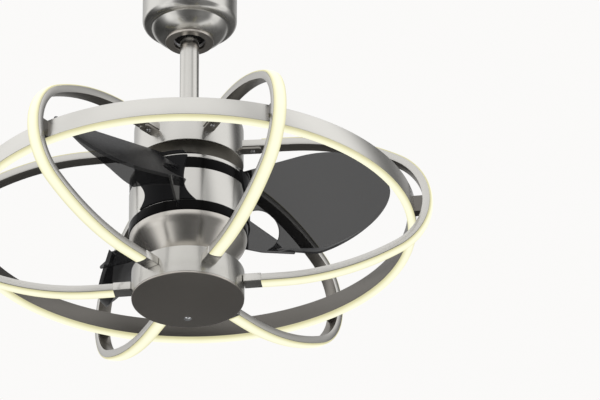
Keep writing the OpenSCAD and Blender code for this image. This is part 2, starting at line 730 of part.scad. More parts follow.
module ring_brackets() color(dark_nickel) at_arms() level(0) difference() {
    intersection() {
        translate([ring_r - 1, -ring_bracket_w / 2, ring_low + 1])
            cube([20, ring_bracket_w, ring_top - ring_low - 2]);
        translate([nose_c[0], 0, nose_c[1]]) rotate([90, 0, 0])
            cylinder(r = nose_r - arm_d / 2 - 0.05, h = 40, center = true, $fn = 180);
    }
    cylinder(r = ring_r + 0.05, h = 300, $fn = 180);
}

hanger_bracket();
canopy();
canopy_ring();
canopy_screws();
ball_seat();
hanger_ball();
hanger_pins();
downrod();
yoke();
yoke_screws();
coupling_cover();
upper_housing();
housing_floor();
remote_receiver();
motor_shaft();
shaft_spacers();
shaft_nut();
motor_stator();
stator_coils();
bearing_inner_races();
bearing_outer_races();
bearing_balls();
rotor_bell();
rotor_end_cap();
rotor_magnets();
motor_shell();
top_ring();
bottom_ring();
blade_plate();
blade(0);  // blade_a
blade(-120);  // blade_b
blade(120);  // blade_c
blade_screws();
lower_cone();
light_hub();
bottom_plate();
sensor_lens();
led_driver();
motor_driver();
arm_sleeves();
sleeve_screws();
arm_channel(0);  // arm_channel_1
arm_channel(1);  // arm_channel_2
arm_channel(2);  // arm_channel_3
arm_channel(3);  // arm_channel_4
arm_channel(4);  // arm_channel_5
arm_channel(5);  // arm_channel_6
arm_light(0);  // arm_light_1
arm_light(1);  // arm_light_2
arm_light(2);  // arm_light_3
arm_light(3);  // arm_light_4
arm_light(4);  // arm_light_5
arm_light(5);  // arm_light_6
arm_led_strips();
upper_brackets();
bracket_screws();
ring_brackets();
ring_channel();
ring_light();
ring_led_strip();
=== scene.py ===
# Orbital ceiling fan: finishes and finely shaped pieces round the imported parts.
# Lengths in the dictionaries are millimetres. Levels are heights above the hub's underside.
import math
import json
import bpy
import bmesh
from mathutils import Matrix, Vector


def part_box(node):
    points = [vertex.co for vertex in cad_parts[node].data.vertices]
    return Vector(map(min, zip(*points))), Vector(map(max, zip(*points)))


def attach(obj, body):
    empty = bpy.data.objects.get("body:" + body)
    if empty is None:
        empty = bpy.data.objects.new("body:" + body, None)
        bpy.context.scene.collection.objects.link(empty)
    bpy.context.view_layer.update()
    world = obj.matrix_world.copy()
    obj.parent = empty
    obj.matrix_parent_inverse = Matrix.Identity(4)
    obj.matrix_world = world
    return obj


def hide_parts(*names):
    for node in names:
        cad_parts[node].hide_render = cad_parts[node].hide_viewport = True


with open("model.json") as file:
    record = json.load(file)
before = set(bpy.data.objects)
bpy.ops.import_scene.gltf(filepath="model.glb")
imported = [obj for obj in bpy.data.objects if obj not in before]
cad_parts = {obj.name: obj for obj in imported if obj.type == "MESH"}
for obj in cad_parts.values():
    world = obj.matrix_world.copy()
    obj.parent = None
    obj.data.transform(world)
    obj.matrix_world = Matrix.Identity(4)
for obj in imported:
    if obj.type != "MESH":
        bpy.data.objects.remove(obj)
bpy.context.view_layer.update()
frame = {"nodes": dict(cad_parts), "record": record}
mm = 0.001
drop = -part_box("bottom_plate")[0].z / mm  # ceiling to the hub's underside
armCount = 6
armTurn = -8.72  # degrees to the first arm
bladeTurns = {"a": 0, "b": -120, "c": 120}
nearAxis = 0.01  # outlines of solid pieces start this close to the axis, and merging closes them
print("frame loaded, the fan hangs", round(drop), "mm down")

# the camera as fitted to the photo's rims, ring and arms, its place in metres
view = dict(focal=473.42, place=(0, -9.46847, -5.81096), yaw=0.93497, pitch=30.0183, roll=-0.06274)


def makeCamera():
    yaw, pitch, roll = (math.radians(view[k]) for k in ("yaw", "pitch", "roll"))
    ahead = Vector((math.sin(yaw) * math.cos(pitch), math.cos(yaw) * math.cos(pitch), math.sin(pitch)))
    level = Vector((math.cos(yaw), -math.sin(yaw), 0))
    steep = level.cross(ahead)
    right = math.cos(roll) * level + math.sin(roll) * steep
    up = math.cos(roll) * steep - math.sin(roll) * level
    camera = bpy.data.objects.new("camera", bpy.data.cameras.new("camera"))
    camera.data.sensor_width = 36
    camera.data.lens = view["focal"]
    camera.data.clip_start = 0.5
    camera.data.clip_end = 200
    turn = Matrix((right, up, -ahead)).transposed().to_4x4()
    camera.matrix_world = Matrix.Translation(view["place"]) @ turn
    bpy.context.scene.collection.objects.link(camera)
    bpy.context.scene.camera = camera


makeCamera()
bpy.context.scene.view_settings.view_transform = "Standard"


def feed(owner, value, socket):
    # a socket takes another node's output or a plain value
    if isinstance(value, bpy.types.NodeSocket):
        owner.node_tree.links.new(value, socket)
    else:
        socket.default_value = value


def addNode(owner, kind, inputs=None, **settings):
    node = owner.node_tree.nodes.new(kind)
    for name, value in settings.items():
        setattr(node, name, value)
    for socket, value in (inputs or {}).items():
        feed(owner, value, node.inputs[socket])
    return node


def calculate(owner, operation, *values):
    return addNode(owner, "ShaderNodeMath", dict(enumerate(values)), operation=operation).outputs[0]


def remap(owner, value, start, end, **settings):
    # what runs over the start pair comes to run over the end pair
    facts = {"Value": value, "From Min": start[0], "From Max": start[1], "To Min": end[0], "To Max": end[1]}
    return addNode(owner, "ShaderNodeMapRange", facts, **settings).outputs[0]


def noiseFrom(owner, vector, scale, detail=2):
    facts = {"Vector": vector, "Scale": scale, "Detail": detail}
    return addNode(owner, "ShaderNodeTexNoise", facts).outputs["Fac"]


def mixColour(owner, factor, first, second):
    mix = addNode(owner, "ShaderNodeMix", {0: factor, 6: first, 7: second}, data_type="RGBA")
    return mix.outputs[2]


def grey(level):
    return (level, level, level, 1)


def startMaterial(name, settings):
    material = bpy.data.materials.new(name)
    material.use_nodes = True
    shader = material.node_tree.nodes["Principled BSDF"]
    for socket, value in settings.items():
        shader.inputs[socket].default_value = value
    return material, shader


def objectFrom(name, bm):
    mesh = bpy.data.meshes.new(name)
    bm.to_mesh(mesh)
    bm.free()
    made = bpy.data.objects.new(name, mesh)
    bpy.context.scene.collection.objects.link(made)
    return made


studio = dict(
    paper=(0.962, 0.955, 0.945, 1), softLight=0.62, floorGrey=0.33,
    floorLevel=-30.0, floorHalf=250,  # metres
    horizon=(0.0, 0.22),  # heights between which the reflected ground gives way to the walls
    # greys that metal sees in the walls, as turn from the camera's side and brightness
    walls=[(-180, 0.6), (-160, 0.55), (-136, 0.55), (-108, 1.2), (-88, 1.1), (-66, 0.75), (-46, 0.95),
           (-24, 0.98), (-12, 0.9), (10, 0.92), (24, 0.85), (34, 0.35), (43, 0.8), (56, 1.0), (70, 1.1),
           (88, 1.15), (99, 0.5), (110, 0.1), (128, 0.1), (145, 0.4), (180, 0.6)],
    # and in the ground
    ground=[(-180, 0.11), (-140, 0.06), (-112, 0.05), (-94, 0.08), (-80, 0.5), (-68, 1.3), (-54, 1.8),
            (-44, 1.2), (-36, 0.1), (0, 0.1), (20, 0.14), (40, 0.26), (56, 0.16), (68, 0.3), (80, 1.8),
            (90, 1.5), (100, 0.2), (140, 0.1), (180, 0.11)],
    # soft blotches over the ground, which the canopy's bowl picks up
    cloudScale=2.6, cloudNoise=(0.38, 0.62), cloudTones=(0.85, 1.2))


def greysRound(world, share, stops):
    ramp = addNode(world, "ShaderNodeValToRGB", {0: share})
    ramp.color_ramp.interpolation = "B_SPLINE"
    elements = ramp.color_ramp.elements
    for i, (angle, level) in enumerate(stops):
        place = (angle + 180) / 360
        stop = elements[i] if i < 2 else elements.new(place)
        stop.position = place
        stop.color = grey(level)
    return ramp.outputs[0]


def makeWorld():
    world = bpy.data.worlds.new("studio")
    bpy.context.scene.world = world
    world.use_nodes = True
    world.cycles.sampling_method = "NONE"  # so that metal sees the walls, and not the soft light
    toward = addNode(world, "ShaderNodeTexCoord").outputs["Generated"]
    split = addNode(world, "ShaderNodeSeparateXYZ", {0: toward})
    flip = calculate(world, "MULTIPLY", split.outputs["Y"], -1)
    turn = calculate(world, "ARCTAN2", split.outputs["X"], flip)
    share = remap(world, turn, (-math.pi, math.pi), (0, 1))
    walls = greysRound(world, share, studio["walls"])
    ground = greysRound(world, share, studio["ground"])
    cloud = noiseFrom(world, toward, studio["cloudScale"])
    blotch = remap(world, cloud, studio["cloudNoise"], studio["cloudTones"])
    patchy = addNode(world, "ShaderNodeVectorMath", {0: ground, "Scale": blotch}, operation="SCALE")
    above = remap(world, split.outputs["Z"], studio["horizon"], (0, 1), interpolation_type="SMOOTHSTEP")
    reflected = mixColour(world, above, patchy.outputs[0], walls)
    path = addNode(world, "ShaderNodeLightPath").outputs
    lighting = mixColour(world, path["Is Glossy Ray"], grey(studio["softLight"]), reflected)
    seen = calculate(world, "MAXIMUM", path["Is Camera Ray"], path["Is Transmission Ray"])
    background = world.node_tree.nodes["Background"]
    feed(world, mixColour(world, seen, lighting, studio["paper"]), background.inputs["Color"])


def makeFloor():
    bm = bmesh.new()
    bmesh.ops.create_grid(bm, x_segments=8, y_segments=8, size=studio["floorHalf"])
    bmesh.ops.translate(bm, verts=bm.verts, vec=(0, 0, studio["floorLevel"]))
    floor = objectFrom("floor", bm)
    material, shader = startMaterial("paleFloor", {"Base Color": grey(studio["floorGrey"]), "Roughness": 0.9})
    path = addNode(material, "ShaderNodeLightPath").outputs
    pale = addNode(material, "ShaderNodeEmission", {"Color": studio["paper"], "Strength": 1})
    both = addNode(material, "ShaderNodeMixShader",
                   {0: path["Is Camera Ray"], 1: shader.outputs[0], 2: pale.outputs[0]})
    feed(material, both.outputs[0], material.node_tree.nodes["Material Output"].inputs[0])
    floor.data.materials.append(material)
    floor.visible_glossy = False  # metal sees the world's ground instead


makeWorld()
makeFloor()

# each lamp: turn from the camera's side in degrees, height, distance, width and length in metres, watts
lamps = {
    "leftStrip": dict(turn=-51, height=-2.1, away=4.2, width=0.55, length=4.6, watts=26),
    "rightStrip": dict(turn=38, height=-0.6, away=4.6, width=0.5, length=2.6, watts=14),
    "overhead": dict(turn=-20, height=3.2, away=1.6, width=3.0, length=3.0, watts=46)}
lampTint = (1, 0.985, 0.96)
lampAim = Vector((0, 0, -0.3))


def makeLamp(name, turn, height, away, width, length, watts):
    lamp = bpy.data.objects.new(name, bpy.data.lights.new(name, "AREA"))
    lamp.data.shape = "RECTANGLE"
    lamp.data.size = width
    lamp.data.size_y = length
    lamp.data.energy = watts
    lamp.data.color = lampTint
    a = math.radians(turn)
    lamp.location = lampAim + Vector((away * math.sin(a), -away * math.cos(a), height))
    lamp.rotation_euler = (lampAim - lamp.location).to_track_quat("-Z", "Y").to_euler()
    lamp.visible_glossy = False
    bpy.context.scene.collection.objects.link(lamp)


for lampName, lampFacts in lamps.items():
    makeLamp(lampName, **lampFacts)
print("camera, floor and lamps are up")


# in each finish broad noise varies the tone, and fine noise the roughness and the relief
toneSpan, roughSpan = (0.3, 0.7), (0.25, 0.75)  # between which the noise mostly stays


def shade(tone, factor):
    return [min(1, factor * c) for c in tone]


def toneFrom(material, shader, value, dark, light):
    ramp = addNode(material, "ShaderNodeValToRGB", {0: value})
    for stop, place, tone in zip(ramp.color_ramp.elements, toneSpan, (dark, light)):
        stop.position = place
        stop.color = (*tone, 1)
    feed(material, ramp.outputs[0], shader.inputs["Base Color"])


def roughFrom(material, shader, value, low, high):
    feed(material, remap(material, value, roughSpan, (low, high)), shader.inputs["Roughness"])


def reliefFrom(material, shader, value, strength, depth):
    facts = {"Strength": strength, "Distance": depth * mm, "Height": value}
    bump = addNode(material, "ShaderNodeBump", facts)
    feed(material, bump.outputs[0], shader.inputs["Normal"])


def objectSpace(material, scale=(1, 1, 1)):
    place = addNode(material, "ShaderNodeTexCoord").outputs["Object"]
    return addNode(material, "ShaderNodeMapping", {"Vector": place, "Scale": scale}).outputs[0]


def objectNoise(material, scale, detail=2):
    return noiseFrom(material, objectSpace(material), scale, detail)


def fromAxis(material):
    flat = objectSpace(material, (1, 1, 0))
    return addNode(material, "ShaderNodeVectorMath", {0: flat}, operation="LENGTH").outputs["Value"]


def latheSpace(material, across, along):
    # fine across the brush lines, which run round the fan's axis, and slow along them
    place = addNode(material, "ShaderNodeSeparateXYZ", {0: objectSpace(material)}).outputs
    sources = ((fromAxis(material), across), (place["Z"], across), (place["X"], along))
    scaled = [calculate(material, "MULTIPLY", source, factor) for source, factor in sources]
    return addNode(material, "ShaderNodeCombineXYZ", dict(enumerate(scaled))).outputs[0]


def grainSpace(material, across, along):
    # brush lines along a bent channel: the "across" attribute runs round the section
    section = addNode(material, "ShaderNodeAttribute", attribute_name="across").outputs["Fac"]
    place = addNode(material, "ShaderNodeSeparateXYZ", {0: objectSpace(material, (along,) * 3)}).outputs
    scaled = calculate(material, "MULTIPLY", section, across)
    return addNode(material, "ShaderNodeCombineXYZ", {0: scaled, 1: place["X"], 2: place["Z"]}).outputs[0]


nickelTone = (0.7, 0.685, 0.65)
nickels = {
    "turnedNickel": dict(tone=nickelTone, rough=0.22, streak=0.4),
    "coneNickel": dict(tone=(0.66, 0.63, 0.58), rough=0.24, streak=0.0, relief=0.005),
    "canopyNickel": dict(tone=nickelTone, rough=0.22, streak=0.25),
    "barNickel": dict(tone=(0.68, 0.665, 0.63), rough=0.3, streak=0.0, turned=False),
    "ringNickel": dict(tone=(0.8, 0.785, 0.745), rough=0.3, streak=0.2),
    "hubNickel": dict(tone=(0.63, 0.615, 0.58), rough=0.24, streak=0.3),
    # the ring's inner faces and the ring blocks: the nickel darkened with painted shade
    "insideNickel": dict(tone=(0.19, 0.18, 0.165), rough=0.34, streak=0.2),
    # the arms' faces other than their sides: the nickel darkened with painted shade
    "archNickel": dict(tone=(0.34, 0.32, 0.29), rough=0.36, streak=0.0, turned=False),
    # the tabs under the arms: the nickel darkened with painted shade
    "tabNickel": dict(tone=(0.3, 0.285, 0.26), rough=0.34, streak=0.2),
    "plateNickel": dict(tone=(0.62, 0.58, 0.53), rough=0.3, streak=0.2),
    "shadowNickel": dict(tone=(0.38, 0.36, 0.32), rough=0.34, streak=0.2)}


def brushedNickel(name, tone, rough, streak, turned=True, relief=0.04):
    # brushed round the axis where it is turned, and otherwise along the bent channel
    settings = {"Metallic": 1, "Anisotropic": streak, "Anisotropic Rotation": 0.25}
    material, shader = startMaterial(name, settings)
    if turned:
        around = addNode(material, "ShaderNodeTangent", direction_type="RADIAL", axis="Z")
        feed(material, around.outputs[0], shader.inputs["Tangent"])
    space = latheSpace if turned else grainSpace
    lines = noiseFrom(material, space(material, across=1400, along=20), scale=1, detail=3)
    cloud = objectNoise(material, scale=9, detail=3)
    toneFrom(material, shader, cloud, shade(tone, 0.97), shade(tone, 1.03))
    roughFrom(material, shader, lines, rough - 0.02, rough + 0.02)
    reliefFrom(material, shader, lines, strength=relief, depth=0.03)
    return material


plastics = {
    "satinBlack": dict(tone=(0.01, 0.01, 0.011), rough=0.36, sheen=0.2),
    "glossBlack": dict(tone=(0.004, 0.0036, 0.0036), rough=0.2, pebble=200, sheen=0.06),
    "whiteMoulding": dict(tone=(0.68, 0.68, 0.66), rough=0.4),
    "circuitBoard": dict(tone=(0.72, 0.72, 0.66), rough=0.35, pebble=900)}


def mouldedPlastic(name, tone, rough, pebble=420, sheen=0.5):
    material, shader = startMaterial(name, {"Metallic": 0, "Specular IOR Level": sheen})
    fine = objectNoise(material, pebble, detail=3)
    cloud = objectNoise(material, scale=14, detail=3)
    toneFrom(material, shader, cloud, shade(tone, 0.85), shade(tone, 1.15))
    roughFrom(material, shader, fine, rough - 0.05, rough + 0.06)
    reliefFrom(material, shader, fine, strength=0.1, depth=0.06)
    return material


metals = {
    "zincPlate": dict(tone=(0.62, 0.62, 0.64), rough=0.34, grain=90),
    "machinedSteel": dict(tone=(0.56, 0.56, 0.57), rough=0.26, grain=700),
    "darkSteel": dict(tone=(0.22, 0.215, 0.21), rough=0.36, grain=500),
    "magnetNickel": dict(tone=(0.5, 0.5, 0.52), rough=0.2, grain=60)}


def plainMetal(name, tone, rough, grain):
    material, shader = startMaterial(name, {"Metallic": 1})
    fine = objectNoise(material, grain, detail=4)
    cloud = objectNoise(material, scale=30, detail=2)
    toneFrom(material, shader, cloud, shade(tone, 0.88), shade(tone, 1.1))
    roughFrom(material, shader, fine, rough - 0.06, rough + 0.08)
    reliefFrom(material, shader, fine, strength=0.15, depth=0.04)
    return material


# turns of wire on the coils and sheets of the stator lie one above another
stacks = {
    "woundCopper": dict(metallic=0.9, rough=0.3, scale=330, wander=0.6, detail=1, dark=(0.3, 0.1, 0.035),
                        light=(0.72, 0.3, 0.13), strength=0.8, depth=0.3),
    "laminatedSteel": dict(metallic=1, rough=0.42, scale=320, wander=0.2, detail=2, dark=(0.2, 0.2, 0.21),
                           light=(0.46, 0.46, 0.47), strength=0.5, depth=0.1)}


def stackedMetal(name, metallic, rough, scale, wander, detail, dark, light, strength, depth):
    material, shader = startMaterial(name, {"Metallic": metallic, "Roughness": rough})
    facts = {"Vector": objectSpace(material), "Scale": scale, "Distortion": wander, "Detail": detail}
    bands = addNode(material, "ShaderNodeTexWave", facts, wave_type="BANDS", bands_direction="Z")
    toneFrom(material, shader, bands.outputs["Fac"], dark, light)
    reliefFrom(material, shader, bands.outputs["Fac"], strength, depth)
    return material


smoke = dict(dark=(0.014, 0.014, 0.0155), light=(0.02, 0.02, 0.0215), sheen=0.07, slant=(0.35, 0.85),
             opacity=(0.7, 0.97), rootEnd=(87, 96))


def smokedPlastic(name):
    # the longer way through the plastic at a slant lets less light pass
    material, shader = startMaterial(name, {"Specular IOR Level": smoke["sheen"]})
    fine = objectNoise(material, scale=260, detail=2)
    cloud = objectNoise(material, scale=7, detail=3)
    toneFrom(material, shader, cloud, smoke["dark"], smoke["light"])
    roughFrom(material, shader, fine, 0.3, 0.38)
    reliefFrom(material, shader, fine, strength=0.05, depth=0.04)
    facing = addNode(material, "ShaderNodeLayerWeight", {"Blend": 0.5}).outputs["Facing"]
    thick = remap(material, facing, smoke["slant"], smoke["opacity"])
    # the skin and the tongue that clasp the motor are thick and let nothing through
    root = remap(material, fromAxis(material), [r * mm for r in smoke["rootEnd"]], (1, 0))
    feed(material, calculate(material, "MAXIMUM", thick, root), shader.inputs["Alpha"])
    return material


# along a light cover's sides, halfway and along its middle
warmTones = ((0.36, 0.33, 0.17, 1), (0.74, 0.71, 0.43, 1), (0.98, 0.965, 0.74, 1))


def warmSilicone(name):
    # brightest along the middle of the cover, warmer and dimmer at its sides
    material, shader = startMaterial(name, {"Base Color": (0.16, 0.15, 0.11, 1), "Emission Strength": 1.0})
    across = addNode(material, "ShaderNodeAttribute", attribute_name="glow").outputs["Fac"]
    cloud = objectNoise(material, scale=45)
    clouded = calculate(material, "MULTIPLY_ADD", cloud, 0.1, -0.05)  # a twentieth up or down
    glow = addNode(material, "ShaderNodeValToRGB", {0: calculate(material, "ADD", across, clouded)})
    stops = glow.color_ramp.elements
    stops[0].color, stops[1].color = warmTones[0], warmTones[2]
    stops.new(0.5).color = warmTones[1]
    feed(material, glow.outputs[0], shader.inputs["Emission Color"])
    fine = objectNoise(material, scale=500)
    roughFrom(material, shader, fine, 0.4, 0.5)
    return material


def clearLens(name):
    settings = {"Base Color": (0.85, 0.87, 0.88, 1), "IOR": 1.5, "Metallic": 0.75}
    material, shader = startMaterial(name, settings)
    swirl = objectNoise(material, scale=120, detail=1)
    roughFrom(material, shader, swirl, 0.04, 0.1)
    return material


finishes = {"smokedBlade": smokedPlastic("smokedBlade"), "warmCover": warmSilicone("warmCover"),
            "clearLens": clearLens("clearLens")}
for makeFinish, kind in ((brushedNickel, nickels), (mouldedPlastic, plastics), (plainMetal, metals),
                         (stackedMetal, stacks)):
    for finishName, facts in kind.items():
        finishes[finishName] = makeFinish(finishName, **facts)

# CAD nodes that stay as they are, and what they are finished in
keptNodes = {
    "zincPlate": ["hanger_bracket"],
    "satinBlack": ["ball_seat", "hanger_ball", "remote_receiver", "motor_driver"],
    "whiteMoulding": ["led_driver"],
    "circuitBoard": ["arm_led_strips", "ring_led_strip"],
    "machinedSteel": ["yoke_screws", "motor_shaft", "shaft_spacers", "shaft_nut",
                      "bearing_inner_races", "bearing_outer_races", "bearing_balls", "sleeve_screws"],
    "darkSteel": ["rotor_bell", "rotor_end_cap"],
    "laminatedSteel": ["motor_stator"],
    "woundCopper": ["stator_coils"],
    "magnetNickel": ["rotor_magnets"]}
for finishName, nodeNames in keptNodes.items():
    for nodeName in nodeNames:
        part = frame["nodes"][nodeName]
        part.data.materials.clear()
        part.data.materials.append(finishes[finishName])
print("materials are mixed:", len(finishes))

bodyOf = {n: body for body, members in frame["record"]["behaviour"]["bodies"].items() for n in members}


def span(node):
    low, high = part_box(node)
    return high.x / mm, low.z / mm + drop, high.z / mm + drop  # radius, low level, high level


def vertsOf(geom):
    return [v for v in geom if isinstance(v, bmesh.types.BMVert)]


def shift(bm, vec, verts=None):
    bmesh.ops.translate(bm, verts=verts or bm.verts, vec=vec)


def turnBy(bm, degrees, axis, verts=None):
    matrix = Matrix.Rotation(math.radians(degrees), 3, axis)
    bmesh.ops.rotate(bm, verts=verts or bm.verts, cent=(0, 0, 0), matrix=matrix)


def pushOut(bm, geom, vec):
    geom = bmesh.ops.extrude_face_region(bm, geom=geom)["geom"]
    shift(bm, vec, vertsOf(geom))
    return geom


def settle(name, bm, finish, *nodes, sharp=32, merge=0.004, mirrored=True):
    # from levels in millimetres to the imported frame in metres, and onto the body of its node
    bmesh.ops.remove_doubles(bm, verts=bm.verts, dist=merge)
    bmesh.ops.recalc_face_normals(bm, faces=bm.faces)
    for face in bm.faces:
        face.smooth = True
    for edge in bm.edges:
        edge.smooth = not edge.is_manifold or edge.calc_face_angle() < math.radians(sharp)
    shift(bm, (0, 0, -drop))
    bmesh.ops.scale(bm, verts=bm.verts, vec=(mm, mm, mm))
    piece = objectFrom(name, bm)
    piece.data.materials.append(finishes[finish])
    piece.visible_glossy = mirrored
    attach(piece, bodyOf[nodes[0]])
    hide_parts(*nodes)
    return piece


def paint(piece, finish, chosen):
    # gives some of a piece's faces a second finish, in this script always a darker nickel for painted shade
    piece.data.materials.append(finishes[finish])
    for face in piece.data.polygons:
        if chosen(face):
            face.material_index = 1


def arc(centre, radius, start, end, steps):
    angles = [math.radians(start + (end - start) * i / steps) for i in range(steps + 1)]
    return [(centre[0] + radius * math.cos(a), centre[1] + radius * math.sin(a)) for a in angles]


def bezier(a, b, c, d, steps):
    points = []
    for i in range(steps + 1):
        t = i / steps
        mix = ((1 - t) ** 3, 3 * t * (1 - t) ** 2, 3 * t * t * (1 - t), t ** 3)
        points.append(tuple(sum(m * p[k] for m, p in zip(mix, (a, b, c, d))) for k in (0, 1)))
    return points


def outlineFace(bm, points, place, rounding=None, segments=3):
    # one face from an outline, its numbered corners rounded
    verts = [bm.verts.new(place(*p)) for p in points]
    bm.faces.new(verts)
    for size in sorted(set((rounding or {}).values())):
        corners = [verts[i] for i, r in rounding.items() if r == size]
        bmesh.ops.bevel(bm, geom=corners, offset=size, segments=segments, profile=0.5, affect="VERTICES",
                        material=-1)
    return bm.faces[:][0]


def turnedSolid(points, rounding=None, steps=144, segments=3):
    # a closed outline of radius and level, spun round the axis
    bm = bmesh.new()
    face = outlineFace(bm, points, lambda r, h: (r, 0, h), rounding, segments)
    bmesh.ops.delete(bm, geom=[face], context="FACES_ONLY")
    bmesh.ops.spin(bm, geom=bm.verts[:] + bm.edges[:], cent=(0, 0, 0), axis=(0, 0, 1), angle=math.tau,
                   steps=steps, use_merge=True)
    return bm


def copiesAround(bm, count, start=0.0):
    # turns what is in bm to its first place and repeats it round the axis
    first = bm.verts[:] + bm.edges[:] + bm.faces[:]
    turnBy(bm, start, "Z")
    for i in range(1, count):
        extra = bmesh.ops.duplicate(bm, geom=first)["geom"]
        turnBy(bm, 360 * i / count, "Z", vertsOf(extra))
    return bm


def addTo(whole, bm):
    # one bmesh goes into another
    mesh = bpy.data.meshes.new("passing")
    bm.to_mesh(mesh)
    bm.free()
    whole.from_mesh(mesh)
    bpy.data.meshes.remove(mesh)


def roundedBox(size, centre, edge, segments):
    bm = bmesh.new()
    bmesh.ops.create_cube(bm, size=1)
    bmesh.ops.scale(bm, verts=bm.verts, vec=size)
    shift(bm, centre)
    bmesh.ops.bevel(bm, geom=bm.edges[:], offset=edge, segments=segments, profile=0.5, affect="EDGES",
                    material=-1)
    return bm


canopy = dict(sheet=1.5, shoulder=12, bowlRadius=53.8, bulge=34, shelf=63.2, lip=0.8, stepWidth=1.6,
              stepEdge=0.5, footGap=0.4, turnedIn=3.0)


def makeCanopy():
    radius, low, top = span("canopy")
    sheet, shoulder, bowlRadius = canopy["sheet"], canopy["shoulder"], canopy["bowlRadius"]
    shelf = drop - canopy["shelf"]
    foot = Vector((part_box("canopy_ring")[1].x / mm - canopy["footGap"], low))
    rim = Vector((bowlRadius, shelf - canopy["lip"]))
    chord = (rim - foot).normalized()
    centre = (foot + rim) / 2 + Vector((-chord.y, chord.x)) * math.sqrt(
        canopy["bulge"] ** 2 - (rim - foot).length_squared / 4)
    angle = [math.degrees(math.atan2(p.y - centre.y, p.x - centre.x)) for p in (rim, foot)]
    corner = (radius - shoulder, shelf + shoulder)
    outer = arc(corner, shoulder, 0, -90, 20)
    bowl = arc(centre, canopy["bulge"], angle[0], angle[1], 28)
    inBowl = arc(centre, canopy["bulge"] - sheet, angle[1], angle[0], 28)
    inner = arc(corner, shoulder - sheet, -90, 0, 20)
    # a fine step where the bowl meets the shoulder catches the light
    edge = canopy["stepEdge"]
    step = [(bowlRadius + canopy["stepWidth"], shelf), (bowlRadius + edge, shelf - edge)]
    hole = foot.x - canopy["turnedIn"]
    points = [(radius, top), *outer, *step, *bowl, (hole, foot.y), (hole, foot.y + sheet), *inBowl, *inner,
              (radius - sheet, top)]
    settle("spunCanopy", turnedSolid(points, steps=160), "canopyNickel", "canopy", sharp=25)


trimRing = dict(hole=22.7, plate=3.9, sleeve=1.5, innerEdge=0.5, outerEdge=0.7, backEdge=0.3)


def makeCanopyRing(hole, plate, sleeve, innerEdge, outerEdge, backEdge):
    radius, low, high = span("canopy_ring")
    back = low + plate
    points = [(hole, low), (radius, low), (radius, back), (hole + sleeve, back), (hole + sleeve, high),
              (hole, high)]
    bm = turnedSolid(points, {0: innerEdge, 1: outerEdge, 2: backEdge}, segments=4)
    settle("canopyTrimRing", bm, "plateNickel", "canopy_ring")


rod = dict(wall=2.9, edge=0.4)


def makeTube(name, node, wall, edge):
    radius, low, high = span(node)
    points = [(radius, low), (radius, high), (radius - wall, high), (radius - wall, low)]
    settle(name, turnedSolid(points, {0: edge, 1: edge}), "turnedNickel", node)


# heights of the coupling are above the housing: in the photo none of it shows over the near side of the ring
yoke = dict(top=25.0, neck=19.0, flange=4.0, bore=8.0, rodGap=0.05, flangeEdge=0.6, topEdge=0.8)


def makeYoke(top, neck, flange, bore, rodGap, flangeEdge, topEdge):
    radius, low = span("yoke")[:2]
    rodRadius, rodEnd = span("downrod")[:2]
    socket, seat = rodRadius + rodGap, rodEnd - rodGap
    points = [(bore, low), (radius, low), (radius, low + flange), (neck, low + flange), (neck, low + top),
              (socket, low + top), (socket, seat), (bore, seat)]
    settle("rodYoke", turnedSolid(points, {2: flangeEdge, 4: topEdge}), "machinedSteel", "yoke")


crossPin = dict(radius=3.0, length=42.0, edge=0.5, height=17.0, ballDrop=59.0)


def makeHangerPins(radius, length, edge, height, ballDrop):
    half = length / 2
    pins = bmesh.new()
    for level in (drop - ballDrop, span("yoke")[1] + height):
        points = [(nearAxis, -half), (radius, -half), (radius, half), (nearAxis, half)]
        pin = turnedSolid(points, {1: edge, 2: edge}, steps=32)
        turnBy(pin, 90, "Y")
        shift(pin, (0, 0, level))
        addTo(pins, pin)
    settle("crossPins", pins, "machinedSteel", "hanger_pins", merge=0.02)


cup = dict(top=31.0, neck=22.0, wall=1.5, straight=8.0, swell=22.0, flare=4.0, shrink=12.0, lip=0.8,
           rodGap=0.4, footEdge=0.4)


def makeCouplingCover(top, neck, wall, straight, swell, flare, shrink, lip, rodGap, footEdge):
    radius, low = span("coupling_cover")[:2]
    high, knee, swollen, shrunk = low + top, low + straight, low + swell, low + top - shrink
    hole, inside = span("downrod")[0] + rodGap, radius - wall
    curve = bezier((radius, knee), (radius, swollen), (neck + flare, shrunk), (neck, high - lip), 24)
    under = bezier((neck - wall, high - wall), (neck + flare - wall, shrunk - wall),
                   (inside, swollen - wall), (inside, knee), 24)
    points = [(radius, low), *curve, (neck - lip, high), (hole, high), (hole, high - wall), *under,
              (inside, low)]
    settle("couplingCup", turnedSolid(points, {0: footEdge}), "turnedNickel", "coupling_cover")


# crown to rim are shares of the head's radius and height, and so is how far the cross reaches
screwHead = dict(crown=0.55, crownFall=0.02, shoulder=0.86, dome=0.35, rim=0.8, slotReach=0.62, slotWidth=1.0,
                 slotDepth=1.1, slotProud=0.05)


def screwSolid(screw):
    # a pan head with a cross of two slot boxes standing just proud of its top, its top at the origin and the
    # shank up
    radius, height, shank, length = (screw[k] for k in ("headRadius", "headHeight", "shankRadius", "length"))
    points = [(nearAxis, 0), (radius * screwHead["crown"], screwHead["crownFall"]),
              (radius * screwHead["shoulder"], height * screwHead["dome"]),
              (radius, height * screwHead["rim"]), (radius, height), (shank, height), (shank, length),
              (nearAxis, length)]
    bm = turnedSolid(points, steps=24)
    bmesh.ops.remove_doubles(bm, verts=bm.verts, dist=0.02)
    reach, width, depth = radius * screwHead["slotReach"], screwHead["slotWidth"], screwHead["slotDepth"]
    for turn in (0, 90):
        cut = bmesh.ops.create_cube(bm, size=1)["verts"]
        bmesh.ops.scale(bm, verts=cut, vec=(2 * reach, width, depth))
        shift(bm, (0, 0, depth / 2 - screwHead["slotProud"]), cut)
        turnBy(bm, turn, "Z", cut)
    return bm


